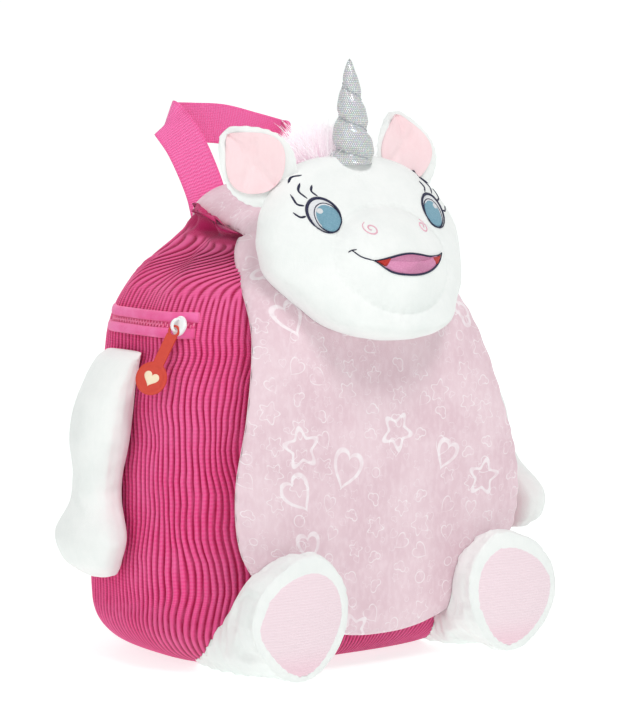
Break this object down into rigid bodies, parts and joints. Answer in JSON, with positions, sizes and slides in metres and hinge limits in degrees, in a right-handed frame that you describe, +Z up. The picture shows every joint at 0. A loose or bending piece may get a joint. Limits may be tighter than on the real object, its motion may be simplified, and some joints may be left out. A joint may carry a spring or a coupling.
{
  "type": "children's animal backpack",
  "caption": "Soft plush unicorn backpack: gathered corduroy sack, padded front flap with a stuffed head, stuffed limbs, carry loop, shoulder straps and a side zip pocket.",
  "frame": {"origin": "on the floor, under the middle of the bounding box", "axes": "+Z up, -Y the way the face and the flap look, +X the animal's own left side"},
  "size_m": [0.3312, 0.2736, 0.3879],
  "materials": {
    "corduroy": "jumbo corduroy, soft pile",
    "printed_cloth": "short pile, printed",
    "plush": "short brushed plush",
    "ear_cloth": "short brushed plush",
    "silver_cloth": "metallic dotted cloth",
    "fur": "long shaggy pile",
    "eye_thread": "satin stitch",
    "mouth_thread": "satin stitch",
    "sole_cloth": "short brushed plush",
    "webbing": "woven webbing",
    "adjuster_plastic": "moulded",
    "zip_cloth": "plain weave",
    "zip_plastic": "moulded teeth",
    "slider_enamel": "gloss enamel",
    "pull_rubber": "soft moulded"
  },
  "bodies": {
    "root": {"sack": "corduroy", "front_flap": "printed_cloth", "head": "plush", "ear_right": "plush", "ear_left": "plush", "ear_lining_right": "ear_cloth", "ear_lining_left": "ear_cloth", "horn": "silver_cloth", "mane": "fur", "eye_right": "eye_thread", "eye_left": "eye_thread", "mouth": "mouth_thread", "arm_right": "plush", "arm_left": "plush", "leg_right": "plush", "leg_left": "plush", "sole_right": "sole_cloth", "sole_left": "sole_cloth", "shoulder_strap_right": "webbing", "shoulder_strap_left": "webbing", "strap_adjuster_right": "adjuster_plastic", "strap_adjuster_left": "adjuster_plastic", "carry_handle": "webbing", "zip_welt_upper": "zip_cloth", "zip_welt_lower": "zip_cloth", "zip_coil": "zip_plastic", "zip_slider": "slider_enamel", "zip_pull": "pull_rubber"}
  },
  "joints": []
}
